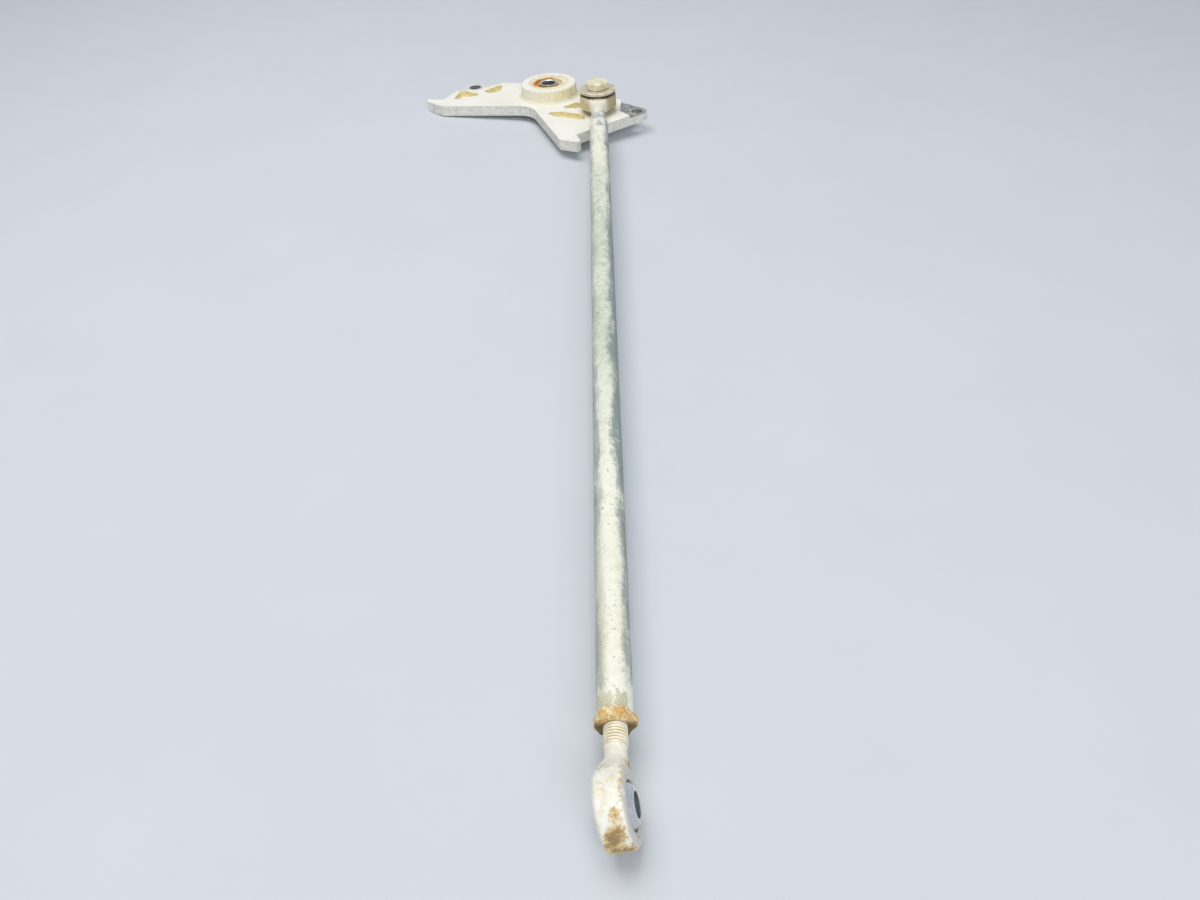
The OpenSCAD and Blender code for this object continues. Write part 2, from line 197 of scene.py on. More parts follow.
# %% A finish that holds the nodes
class Finish:
    """One material, or the world: its nodes, its patterns in millimetres and its shader."""

    def __init__(self, name, owner=None):
        self.material = owner or bpy.data.materials.new(name)
        self.material.use_nodes = True
        self.tree = self.material.node_tree
        self.shader = self.tree.nodes.get("Principled BSDF")
        self.place = self.vector("SCALE", self.node("ShaderNodeTexCoord", out="Object"), scale=1 / MM)

    def node(self, kind, settings=None, sockets=None, out=0):
        """Adds a node, sets its settings, then fills its sockets with values or links."""
        made = self.tree.nodes.new(kind)
        for key, value in (settings or {}).items():
            setattr(made, key, value)
        for key, value in (sockets or {}).items():
            self.fill(made.inputs[key], value)
        return Value(self, made.outputs[out])

    def fill(self, socket, value):
        """Links a Value to a socket, or sets the socket's own number, vector or colour."""
        if isinstance(value, np.ndarray):
            value = tuple(value.tolist())
        if isinstance(value, (Value, bpy.types.NodeSocket)):
            self.tree.links.new(getattr(value, "socket", value), socket)
        elif isinstance(value, tuple) and len(value) == 3 and socket.type == "RGBA":
            socket.default_value = (*value, 1.0)
        else:
            socket.default_value = value

    def sum_of(self, operation, a, b):
        """One Math node on two values or numbers."""
        return self.node("ShaderNodeMath", {"operation": operation}, {0: a, 1: b})

    def vector(self, operation, a, b=None, scale=None, out=0):
        """One Vector Math node."""
        sockets = {0: a}
        if b is not None:
            sockets[1] = b
        if scale is not None:
            sockets["Scale"] = scale
        return self.node("ShaderNodeVectorMath", {"operation": operation}, sockets, out)

    def mix(self, mask, below, over):
        """The colour below where the mask is 0, the colour over it where the mask is 1."""
        return self.node("ShaderNodeMix", {"data_type": "RGBA"}, {0: mask, 6: below, 7: over}, 2)

    def stretched(self, x, y, z):
        """The place with each direction multiplied, for grain that runs one way."""
        return self.vector("MULTIPLY", self.place, (x, y, z))

    def combed(self, angle, along=0.05):
        """The place turned about z by an angle and drawn out along it, for scratches."""
        turned = self.node("ShaderNodeVectorRotate", {"rotation_type": "Z_AXIS"},
                           {"Vector": self.place, "Angle": angle})
        return self.vector("MULTIPLY", turned, (along, 1.5, 1.0))

    def noise(self, size, seed=0.0, detail=3.0, rough=0.55, at=None):
        """Cloudy noise from 0 to 1 with lumps of the given size in millimetres."""
        return self.node("ShaderNodeTexNoise", {"noise_dimensions": "4D"},
                         {"Vector": at or self.place, "W": seed, "Scale": 1.0 / size,
                          "Detail": detail, "Roughness": rough})

    def flecks(self, size, seed, field, share):
        """Small uneven specks: the peaks of a fine noise, kept where a coarser noise is high."""
        peaks = self.noise(size, seed, 2.0, 0.6).step(0.63, 0.68)
        return peaks * self.noise(field, seed + 0.5).step(1.0 - share, 1.08 - share)

    def axes(self):
        """The place split into x, y and z, in millimetres."""
        return [self.place.part(axis) for axis in range(3)]

    def near(self, point, full, gone):
        """1 within one radius of a point in millimetres, 0 beyond a larger one."""
        away = self.vector("DISTANCE", self.place, np.array(point, float), out=1)
        return away.step(gone, full)

    def mask(self, name):
        """A piece's own attribute as a value."""
        return self.node("ShaderNodeAttribute", {"attribute_name": name}, out=2)

    def show(self, shader):
        """Links a shader to the output in place of the one it had."""
        end = next(n for n in self.tree.nodes if n.type.startswith("OUTPUT"))
        self.fill(end.inputs["Surface"], shader)

    def done(self, colour, roughness, metallic=0.0, relief=None, depth=0.05):
        """Fills the shader; relief is a height from 0 to 1 and depth its size in millimetres."""
        self.fill(self.shader.inputs["Base Color"], colour)
        self.fill(self.shader.inputs["Roughness"], roughness)
        self.fill(self.shader.inputs["Metallic"], metallic)
        if relief is not None:
            bump = self.node("ShaderNodeBump", None, {"Height": relief, "Distance": depth * MM})
            self.fill(self.shader.inputs["Normal"], bump)
        print("finish", self.material.name, "nodes", len(self.tree.nodes))
        return self.material


# %% [markdown]
# ## The floor's finish
# A plain pale sheet, a little cooler and darker than the part, so that white edges stand out on it.
# The lamps are small, so far from the part the sheet would go dark in a low view. There, and in the world
# beyond, what the camera and mirrors see is the sheet's own colour; the light on the part is not changed.

# %% Finish the floor and the room
PALE = (0.655, 0.695, 0.755)


def seen_rays(f):
    """1 for rays from the camera, a mirror or glass, else 0."""
    kinds = [f.node("ShaderNodeLightPath", out="Is %s Ray" % k) for k in ("Camera", "Glossy", "Transmission")]
    return sum(kinds[1:], kinds[0]).step(0.0, 1.0)


f = Finish("pale_sheet")
floor.data.materials.append(f.done(f.mix(f.noise(60.0), (0.60, 0.635, 0.69), (0.64, 0.675, 0.73)), 0.9))
away = f.vector("LENGTH", f.place, out=1).step(650.0, 1500.0)
glow = f.node("ShaderNodeEmission", None, {"Color": PALE})
f.show(f.node("ShaderNodeMixShader", None, {0: away * seen_rays(f), 1: f.shader.outputs[0], 2: glow}))
room = Finish("room", world)
light = room.mix(seen_rays(room), tuple(0.36 * c for c in (0.93, 0.96, 1.0)), PALE)
room.show(room.node("ShaderNodeBackground", None, {"Color": light}))

# %% [markdown]
# ## Meshes from arrays
# New surfaces are grids: a function gives a point for each pair of parameters,
# numpy works out all points at once, and the mesh takes the arrays.
# A grid may close on itself in either direction, as a tube does around its axis.


# %% Grid and mesh helpers
def grid_quads(rows, cols, close_rows=False, close_cols=False):
    """Quads of a rows x cols grid; a closed direction joins its last line to its first."""
    r = np.arange(rows if close_rows else rows - 1)
    c = np.arange(cols if close_cols else cols - 1)
    r, c = np.meshgrid(r, c, indexing="ij")
    r2, c2 = (r + 1) % rows, (c + 1) % cols
    quads = np.stack([r * cols + c, r * cols + c2, r2 * cols + c2, r2 * cols + c], -1)
    return quads.reshape(-1, 4)


def dress(obj, body, finish, nodes=()):
    """Gives a finished piece its finish, its body and the solids it stands for."""
    obj.data.materials.clear()
    obj.data.materials.append(finish)
    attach(obj, body)
    if nodes:
        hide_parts(*nodes)
    print("piece", obj.name, "faces", len(obj.data.polygons))
    return obj


def surface(name, points, quads, weld=False):
    """A smooth mesh object from an array of points and an array of quads, facing outwards;
    welding joins points that meet, such as those of a pole."""
    mesh = bpy.data.meshes.new(name)
    mesh.from_pydata(points.reshape(-1, 3).tolist(), [], quads.tolist())
    bm = bmesh.new()
    bm.from_mesh(mesh)
    if weld:
        bmesh.ops.remove_doubles(bm, verts=bm.verts, dist=1e-6)
    bmesh.ops.recalc_face_normals(bm, faces=bm.faces)
    bm.to_mesh(mesh)
    bm.free()
    mesh.shade_smooth()
    return placed(name, mesh)


def points_of(mesh):
    """All vertices of a mesh as an n x 3 array, in metres."""
    co = np.empty(len(mesh.vertices) * 3)
    mesh.vertices.foreach_get("co", co)
    return co.reshape(-1, 3)


def set_points(mesh, co):
    """Puts an n x 3 array of places in metres back into a mesh."""
    mesh.vertices.foreach_set("co", co.ravel())
    mesh.update()


def keep_mask(mesh, name, values, domain="POINT"):
    """Stores one number per vertex or face under a name that a finish can read."""
    mesh.attributes.new(name, "FLOAT", domain)
    mesh.attributes[name].data.foreach_set("value", np.asarray(values, np.float32))


print("a strip of 2 x 4 points that closes round has", len(grid_quads(2, 4, False, True)), "quads")

# %% [markdown]
# ## Lumps without pictures
# Rust and chipped paint need an uneven height that is the same on every run.
# Lattice noise does it: each lattice corner gets a fixed number from a hash of its place,
# and a point takes the smooth blend of the eight corners around it.


# %% Lattice noise
def lattice_noise(p, cell, seed=0):
    """Blend of hashed corner values with weights t * t * (3 - 2 t) in x, y and z; 0 to 1."""
    q = np.asarray(p, float) / cell
    base = np.floor(q).astype(np.int64)
    t = q - base
    t = t * t * (3.0 - 2.0 * t)
    total = np.zeros(len(q))
    for corner in np.ndindex(2, 2, 2):
        i = base + np.array(corner)
        h = (i[:, 0] * 73856093) ^ (i[:, 1] * 19349663) ^ (i[:, 2] * 83492791) ^ (seed * 2654435)
        h = (h * 1103515245 + 12345) & 0x7FFFFFFF
        h = (h ^ (h >> 13)) * 1274126177 & 0x7FFFFFFF
        total += (h / 0x7FFFFFFF) * np.prod(np.where(corner, t, 1.0 - t), axis=1)
    return total


def lumps(p, cell, seed=0, octaves=3):
    """Sum of lattice noises, each half as coarse and half as strong as the last; 0 to 1."""
    weights = 0.5 ** np.arange(octaves)
    layers = [w * lattice_noise(p, cell * w, seed + k) for k, w in enumerate(weights)]
    return np.sum(layers, axis=0) / weights.sum()


sample = lumps(np.arange(600.0).reshape(-1, 3), 2.5)
print("lumps from", sample.min().round(2), "to", sample.max().round(2))

# %% [markdown]
# ## Rounded copies of the solids
# A solid's edges are perfectly sharp, and no real edge is. Two ways to break them:
# a bevel keeps flat faces flat, which suits machined parts, and a fine voxel skin that is
# smoothed a little suits forgings and rust. Both start from a merged copy, since the packed
# mesh is loose triangles, and the copy then stands for the solid.


# %% Bevelled copies
ROUND_STEPS, SHARP_DEG, SMOOTH_DEG = 2, 30.0, 50.0


def merged(node):
    """A solid's loose triangles joined at their corners."""
    bm = bmesh.new()
    bm.from_mesh(frame["nodes"][node].data)
    bmesh.ops.remove_doubles(bm, verts=bm.verts, dist=2e-6)
    return bm


def bevelled(name, node, width):
    """A merged copy, flat neighbours made one face, whose sharp edges get a round this many mm wide."""
    bm = merged(node)
    bmesh.ops.dissolve_limit(bm, angle_limit=np.radians(0.6), verts=bm.verts, edges=bm.edges)
    edges = [e for e in bm.edges if e.is_manifold and e.calc_face_angle() > np.radians(SHARP_DEG)]
    made = bmesh.ops.bevel(bm, geom=edges, offset=width * MM, segments=ROUND_STEPS, profile=0.5,
                           affect="EDGES", clamp_overlap=True)
    rounds = set(made["faces"])
    is_round = [float(face in rounds) for face in bm.faces]
    mesh = bpy.data.meshes.new(name)
    bm.to_mesh(mesh)
    bm.free()
    keep_mask(mesh, "edge", is_round, "FACE")
    mesh.shade_smooth()
    mesh.set_sharp_from_angle(angle=np.radians(SMOOTH_DEG))
    obj = placed(name, mesh)
    obj.modifiers.new("even_normals", "WEIGHTED_NORMAL").keep_sharp = True
    return obj


# %% [markdown]
# ## Softened copies
# A forging or a rusted nut has no crisp edge at all. A sculptor would rub it down by hand.
# Here a voxel skin wraps the merged copy in small even quads, then each vertex moves towards the mean
# of its neighbours a few times, which wears the corners first and leaves the flats nearly flat.


# %% Softened copies
def relaxed(co, mesh, rounds):
    """Each round moves every vertex half way to the mean of its neighbours."""
    ends = np.empty(len(mesh.edges) * 2, np.int64)
    mesh.edges.foreach_get("vertices", ends)
    a, b = ends.reshape(-1, 2).T
    count = np.bincount(ends, minlength=len(co))[:, None]
    for _ in range(rounds):
        mean = np.stack([np.bincount(a, co[b, k], len(co)) + np.bincount(b, co[a, k], len(co))
                         for k in range(3)], 1) / count
        co = 0.5 * (co + mean)
    return co


def softened(name, node, voxel, rounds):
    """A merged copy under a skin of even voxels, relaxed; sizes in millimetres."""
    bm = merged(node)
    mesh = bpy.data.meshes.new(name + "_source")
    bm.to_mesh(mesh)
    bm.free()
    source = placed(name + "_source", mesh)
    skin = source.modifiers.new("skin", "REMESH")
    skin.mode, skin.voxel_size = "VOXEL", voxel * MM
    evaluated = source.evaluated_get(bpy.context.evaluated_depsgraph_get())
    made = bpy.data.meshes.new_from_object(evaluated)
    bpy.data.objects.remove(source)
    made.name = name
    set_points(made, relaxed(points_of(made), made, rounds))
    made.shade_smooth()
    return placed(name, made)


def outward(mesh):
    """Vertex normals as an n x 3 array."""
    n = np.empty(len(mesh.vertices) * 3)
    mesh.vertices.foreach_get("normal", n)
    return n.reshape(-1, 3)


def move_out(mesh, height):
    """Moves each vertex along its normal by a height in metres."""
    set_points(mesh, points_of(mesh) + outward(mesh) * np.asarray(height)[:, None])


# %% [markdown]
# ## The plate
# The bellcrank is one light-alloy piece with an old off-white coat. Its tops are clean and pale,
# its milled walls are grey, rough and speckled, the pockets are olive yellow inside, partly stain and partly
# painted shade on their walls, and the cable lugs are bare, scratched metal where the forks rub.
# A bevelled copy keeps the flats flat. Each face is told what it is: a wall, a pocket or a lug.

# %% Shape the plate and mark its faces
PLATE_TOP, LUG_TOP, POCKET_FLOOR, LUG_REACH = -0.6, -2.1, -3.8, 19.0
POCKET_BOXES = [(-56, -41, -1, 13), (-39, -28, 6, 19), (8.5, 19.5, -26, -15.5), (0, 22, -43, -28.5)]
plate = bevelled("plate_coat", "crank_plate", 0.4)


def face_values(mesh):
    """Centres in millimetres and normals of all faces."""
    c, n = np.empty(len(mesh.polygons) * 3), np.empty(len(mesh.polygons) * 3)
    mesh.polygons.foreach_get("center", c)
    mesh.polygons.foreach_get("normal", n)
    return c.reshape(-1, 3) / MM, n.reshape(-1, 3)


def mark_plate(mesh):
    """wall = 1 - |n_z|; pocket and lug come from boxes and heights in the plate's plan."""
    c, n = face_values(mesh)
    keep_mask(mesh, "wall", np.clip(1.25 * (1.0 - np.abs(n[:, 2])), 0, 1), "FACE")
    inside = np.zeros(len(c), bool)
    for x0, x1, y0, y1 in POCKET_BOXES:
        inward = ((x0 + x1) / 2 - c[:, 0]) * n[:, 0] + ((y0 + y1) / 2 - c[:, 1]) * n[:, 1] > -0.2
        inside |= (c[:, 0] > x0) & (c[:, 0] < x1) & (c[:, 1] > y0) & (c[:, 1] < y1) & inward
    sunk = (c[:, 2] < PLATE_TOP - 0.15) & (c[:, 2] > POCKET_FLOOR - 0.1)
    pocket = inside & sunk
    keep_mask(mesh, "pocket", pocket, "FACE")
    ends = np.array([[m["pos_m"][0], m["pos_m"][1]] for m in frame["record"]["mounts"]
                     if m["name"].endswith("cable_lug")]) / MM
    away = np.min(np.linalg.norm(c[:, None, :2] - ends[None], axis=2), axis=1)
    low = (c[:, 2] < PLATE_TOP - 0.3) & (c[:, 2] > LUG_TOP - 0.2)
    nearest = ends[np.argmin(np.linalg.norm(c[:, None, :2] - ends[None], axis=2), axis=1)]
    towards = np.sum((nearest - c[:, :2]) * n[:, :2], axis=1) > 0
    lug = (away < LUG_REACH) & low & ~inside & ((n[:, 2] > 0.5) | towards)
    keep_mask(mesh, "lug", lug, "FACE")
    print("plate faces", len(c), "in pockets", pocket.sum(), "on lugs", lug.sum())


mark_plate(plate.data)

# %% [markdown]
# ## The plate's coat
# One material does the whole plate, because the coat, the milled walls, the pockets with their stain and
# painted shade and the bare lugs run into each other. A picture could be painted for it, but noise steered
# by the marks on the faces needs no seams and keeps its grain at every distance.

# %% Finish the plate
bolt_x, bolt_y = (v / MM for v in joints["rod_swing"]["pos_m"][:2])


def plate_finish():
    """Pale coat with a painted highlight on the rounded edges, speckled walls, streaked hub, yellow pockets of
    stain and painted shade with painted shade in one corner, bare lugs.
    """
    f = Finish("weathered_white_coat")
    wall, pocket, lug, edge = (f.mask(k) for k in ("wall", "pocket", "lug", "edge"))
    x, y, z = f.axes()
    radius = (x * x + y * y) ** 0.5
    broad, fine, grit = f.noise(16.0, 1.0), f.noise(2.2, 2.0, 6.0, 0.7), f.noise(0.55, 3.0, 4.0, 0.75)
    coat = f.mix(broad.step(0.35, 0.7), (0.89, 0.88, 0.83), (0.84, 0.82, 0.74))
    coat = f.mix((fine * grit).step(0.33, 0.46) * 0.3, coat, (0.66, 0.60, 0.44))
    rubs = [f.noise(1.1, 16.0 + k, 2.0, 0.5, f.combed(k)).step(0.66, 0.72) for k in (0.4, 1.3, 2.5)]
    rubs = sum(rubs[1:], rubs[0]) * f.noise(8.0, 20.0).step(0.46, 0.6)
    coat = f.mix(rubs * 0.45, coat, (0.60, 0.58, 0.53))
    round_hub = radius.step(20.5, 16.2) * z.step(PLATE_TOP + 0.5, PLATE_TOP + 0.1)
    grime = round_hub + f.near((bolt_x, bolt_y, PLATE_TOP), 6.0, 15.0)
    coat = f.mix((grime * 0.6 + fine * 0.9).step(0.62, 1.0) * 0.6, coat, (0.72, 0.64, 0.42))
    milled = f.mix(fine.step(0.34, 0.66), (0.85, 0.84, 0.78), (0.66, 0.64, 0.56))
    milled = f.mix(grit.step(0.54, 0.68) * 0.55, milled, (0.44, 0.42, 0.35))
    milled = f.mix(f.noise(0.9, 13.0, 3.0).step(0.60, 0.70) * 0.8, milled, (0.90, 0.89, 0.85))
    pits = f.flecks(0.8, 4.0, 4.0, 0.52)
    milled = f.mix(pits * 0.85, milled, (0.17, 0.155, 0.12))
    streak = f.noise(1.4, 6.0, 4.0, 0.65, f.stretched(1.0, 1.0, 0.16))
    yellow = (streak * 0.6 + fine * 0.4 + x * 0.008 + (grit - 0.5) * 0.6).step(0.34, 0.64)
    hub = f.mix(yellow, (0.88, 0.85, 0.72), (0.80, 0.72, 0.43))
    peaks = f.noise(0.75, 7.0, 2.0, 0.6).step(0.60, 0.65)
    holes = peaks * (f.noise(3.0, 8.0) + x * 0.014 - z * 0.02).step(0.47, 0.58)
    hub = f.mix(holes, hub, (0.10, 0.085, 0.05))
    on_hub = radius.step(16.9, 16.3) * z.step(PLATE_TOP, PLATE_TOP + 0.6) * wall
    # Olive yellow for the pockets: partly stain, partly painted shade on their walls.
    olive = f.mix(fine.step(0.34, 0.66), (0.86, 0.78, 0.46), (0.74, 0.61, 0.24))
    dots = f.flecks(0.8, 9.0, 3.5, 0.58)
    # Painted shade: a dark spot in one corner of a pocket.
    corner = f.near((1.0, -30.6, -2.4), 0.5, 1.9)
    olive = f.mix(z.step(-2.0, -3.7) * 0.65, olive, (0.88, 0.84, 0.66))
    olive = f.mix((dots * 0.75 + corner).step(0.2, 0.8), olive, (0.20, 0.15, 0.07))
    scratch = f.noise(1.0, 10.0, 5.0, 0.7, f.combed(0.5, 0.2)) * 0.7 + f.noise(2.6, 15.0, 6.0, 0.75) * 1.3
    bare = f.mix((scratch + fine - 0.5).step(0.75, 1.25), (0.17, 0.165, 0.16), (0.52, 0.51, 0.49))
    bare = f.mix(wall, bare, (0.60, 0.63, 0.67))
    # Painted highlight: the rounded edges keep the pale coat instead of the wall's grey, standing in for the light
    # along the chamfers.
    colour = f.mix(wall * (1 - edge * 0.8), coat, milled)
    colour = f.mix(edge * f.noise(1.5, 18.0, 4.0, 0.7).step(0.54, 0.62) * 0.8, colour, (0.46, 0.45, 0.42))
    colour = f.mix(on_hub, colour, hub)
    stain = f.noise(4.5, 11.0).step(0.36, 0.62)
    # The pocket walls take the olive yellow fully and the floors only where stained: stain plus painted shade on
    # the walls.
    colour = f.mix(pocket * (wall * 0.95 + stain * 0.35).step(0.1, 0.8), colour, olive)
    is_bare = lug * (f.noise(5.0, 12.0) - edge * 0.3).step(0.30, 0.44) * (0.3 + x.step(-20.0, 0.0) * 0.7)
    colour = f.mix(is_bare, colour, bare)
    rough = 0.55 + grit * 0.25 - is_bare * 0.25
    height = fine * 0.5 + grit * (0.25 + wall * 0.5) - pits * wall - holes * on_hub
    return f.done(colour, rough, is_bare * 0.85, height, 0.12)


dress(plate, "crank", plate_finish(), ["crank_plate"])

# %% [markdown]
# ## The lug bushings
# Pressed steel sleeves line the cable holes. They are dull, with a bright ring where the pin turns.
# Their solids are right as they stand, so they only get a finish.


# %% Finish the bushings
def show_node(node, finish):
    """A solid that stays in view takes a finish on its own mesh."""
    data = frame["nodes"][node].data
    data.materials.clear()
    data.materials.append(finish)
    next(s["material_slot"] for s in frame["record"]["subparts"]
                                       if s["node"] == node)


def worn_steel(name, dark, light, rough):
    """Steel with fine turning marks: two greys mixed by noise that is short along the axis."""
    f = Finish(name)
    marks, blotch = f.noise(0.5, 1.0, 4.0, 0.7, f.stretched(1.0, 1.0, 4.0)), f.noise(3.0, 2.0)
    colour = f.mix((marks * 0.6 + blotch * 0.4).step(0.35, 0.65), dark, light)
    return f.done(colour, rough + marks * 0.2, 0.95, marks, 0.01)


sleeve = worn_steel("sleeve_steel", (0.34, 0.33, 0.31), (0.70, 0.69, 0.66), 0.3)
for lug_node in ("left_lug_bushing", "right_lug_bushing"):
    show_node(lug_node, sleeve)

# %% [markdown]
# ## The pivot bearing
# Inside the white hub sits a bearing: a cream, yellowed outer ring, a sunken shield that has rusted,
# most of all on the left, and a bright inner ring that the pivot bolt clamps.
# The rust has to stand up from the metal, so the shield is a new ring whose height is lifted by lumps.

# %% Shape the rusted shield
SHIELD_IN, SHIELD_OUT, SHIELD_TOP, SHIELD_LOW = 5.52, 7.68, 4.6, 4.12
RING_AROUND, RING_ACROSS = 160, 18


def rust_ring(name, side):
    """A closed loop (inner wall, top, outer wall, underside) carried round the pivot axis.
    top height = base + lumps(x, y) * crust, where crust grows to the left."""
    around = np.linspace(0, 2 * np.pi, RING_AROUND, endpoint=False)
    across = np.linspace(SHIELD_IN, SHIELD_OUT, RING_ACROSS)
    r = np.concatenate([across, across[::-1]])
    z = np.repeat([SHIELD_TOP, SHIELD_LOW], RING_ACROSS)
    a, r = np.meshgrid(around, r, indexing="ij")
    p = np.stack([r * np.cos(a), r * np.sin(a), np.broadcast_to(z, a.shape) * side], -1)
    flat = p.reshape(-1, 3)
    top = np.broadcast_to(z > SHIELD_LOW, a.shape).ravel()
    crust = 0.32 + 0.22 * np.clip(-np.cos(a), -0.6, 1.0).ravel()
    lift = np.clip(lumps(flat, 1.5, 5) - 0.32, 0, 1) * crust * 1.7
    flat[:, 2] += np.where(top, lift, 0.0) * side
    return surface(name, flat * MM, grid_quads(RING_AROUND, 2 * RING_ACROSS, True, True))


def rust_finish():
    """Orange over dark brown, in patches and grains."""
    f = Finish("flaking_rust")
    patch, grain = f.noise(1.6, 1.0, 5.0, 0.65), f.noise(0.35, 2.0, 3.0, 0.7)
    x, _, _ = f.axes()
    heavy = (patch - x * 0.035).step(0.38, 0.66)
    colour = f.mix(heavy, (0.60, 0.47, 0.24), (0.62, 0.27, 0.07))
    colour = f.mix(grain.step(0.55, 0.72) * 0.75, colour, (0.24, 0.11, 0.035))
    colour = f.mix(f.noise(0.8, 3.0).step(0.62, 0.72) * 0.7, colour, (0.82, 0.66, 0.38))
    return f.done(colour, 0.85, 0.0, patch * 0.6 + grain * 0.4, 0.12)


rust = rust_finish()
dress(rust_ring("upper_shield_rust", 1.0), "crank", rust, ["pivot_upper_shield"])
dress(rust_ring("lower_shield_rust", -1.0), "crank", rust, ["pivot_lower_shield"])

# %% [markdown]
# ## Rings and balls
# The outer ring's plating has yellowed, and rust creeps over it from the recess. The inner ring and the
# balls are bright steel. Rings turned afresh would only repeat the solids, so bevelled copies do,
# and the balls keep their own mesh.

# %% Finish the rings and balls


def ring_finish():
    """Yellowed plating on the outer ring, rust creeping out from the recess on the left."""
    f = Finish("yellowed_ring")
    x, y, z = f.axes()
    radius = (x * x + y * y) ** 0.5
    patch, grain = f.noise(3.0, 1.0, 4.0), f.noise(0.6, 2.0, 4.0, 0.7)
    colour = f.mix(patch.step(0.35, 0.65), (0.86, 0.81, 0.63), (0.78, 0.70, 0.44))
    colour = f.mix(grain.step(0.52, 0.70) * 0.6, colour, (0.66, 0.55, 0.28))
    dots = f.flecks(0.7, 3.0, 3.0, 0.55)
    colour = f.mix(dots * 0.8, colour, (0.24, 0.17, 0.08))
    creep = (patch * 2.4 - radius * 0.42 - x * 0.05 + 3.0).step(0.6, 1.1)
    colour = f.mix(creep, colour, (0.60, 0.30, 0.09))
    return f.done(colour, 0.5 + grain * 0.3, 0.15, grain, 0.04)


dress(bevelled("outer_ring_coat", "pivot_outer_ring", 0.3), "crank",
      ring_finish(), ["pivot_outer_ring"])
bright = worn_steel("bright_ring_steel", (0.42, 0.41, 0.38), (0.72, 0.71, 0.69), 0.22)
dress(bevelled("inner_ring_steel", "pivot_inner_ring", 0.12), "pivot_inner",
      bright, ["pivot_inner_ring"])
show_node("pivot_balls", bright)

# %% [markdown]
# ## Bolt, washers and nut
# The hardware has a dull yellow plating, rubbed pale on the corners and stained brown in the gaps.
# Bevelled copies give the corners their bright lines; the mask of rounded faces carries the rubbing.


# %% Shape and finish the hardware
def plating(name, base, stain, rub):
    """Yellow plating: blotches, brown specks, and pale metal where edges are rubbed."""
    f = Finish(name)
    edge = f.mask("edge")
    patch, grain = f.noise(2.6, 1.0, 5.0, 0.65), f.noise(0.5, 2.0, 4.0, 0.7)
    colour = f.mix(patch.step(0.35, 0.66), base, stain)
    colour = f.mix(grain.step(0.58, 0.74) * 0.6, colour, (0.24, 0.17, 0.08))
    worn = edge * patch.step(0.75, 0.35) * 0.85
    colour = f.mix(worn, colour, rub)
    return f.done(colour, 0.42 + grain * 0.25 - worn * 0.12, 0.35, patch * 0.5 + grain * 0.5, 0.05)


hardware = plating("yellowed_plating", (0.88, 0.84, 0.72), (0.72, 0.62, 0.38), (0.97, 0.96, 0.93))
dull = plating("dull_washer_plating", (0.66, 0.60, 0.46), (0.47, 0.40, 0.26), (0.93, 0.90, 0.82))
for node, piece, width, finish in (
        ("attach_bolt", "bolt_plated", 0.28, hardware), ("top_washer", "washer_under_head", 0.35, dull),
        ("lower_washer", "washer_on_plate", 0.25, dull), ("under_washer", "washer_below", 0.2, dull),
        ("lock_nut", "nut_below", 0.25, hardware)):
    dress(bevelled(piece, node, width), "crank", finish, [node])


def lock_ring_finish():
    """Moulded ring, dull red brown with fine grain."""
    f = Finish("moulded_lock_ring")
    grain = f.noise(0.4, 1.0, 3.0, 0.6)
    return f.done(f.mix(grain, (0.20, 0.045, 0.035), (0.32, 0.09, 0.07)), 0.6, 0.0, grain, 0.02)


show_node("lock_nut_insert", lock_ring_finish())

# %% [markdown]
# ## Rod directions
# The rod has its own frame: s runs from the far eye to the near eye, side points right and lift up.
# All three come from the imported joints, so the dressing follows the solids.

# %% Find the rod's frame
far_eye = np.array(joints["rod_swing"]["pos_m"])
near_eye = np.array(joints["near_ball_spin"]["pos_m"])
rod_len = np.linalg.norm(near_eye - far_eye)
rod_dir = (near_eye - far_eye) / rod_len
rod_side = unit(joints["rod_tilt"]["axis"])
rod_lift = unit(np.cross(rod_side, rod_dir))
if rod_lift[2] < 0:
    rod_lift = -rod_lift
near_axis = unit(joints["near_ball_spin"]["axis"])


def rod_point(s, side, lift):
    """far eye + s * along + side * right + lift * up, all in millimetres in, metres out."""
    return far_eye + MM * (np.multiply.outer(s, rod_dir) + np.multiply.outer(side, rod_side)
                           + np.multiply.outer(lift, rod_lift))


def about_rod(p):
    """Places in millimetres split into the part along the rod, the part across it and the radius."""
    along = (p @ rod_dir)[:, None] * rod_dir
    across = p - along
    return along, across, np.linalg.norm(across, axis=1)


print("rod", round(rod_len / MM, 1), "mm, side", rod_side.round(3), "lift", rod_lift.round(3))

# %% [markdown]
# ## The far rod end
# A forged eye, plated like the bolt but darker on its flank and rubbed to cream at the neck.
# The forging's soft shoulders come from a voxel skin that is relaxed a few times.

# %% Shape and finish the far rod end
far_end = softened("far_eye_forging", "far_rod_end", 0.25, 7)


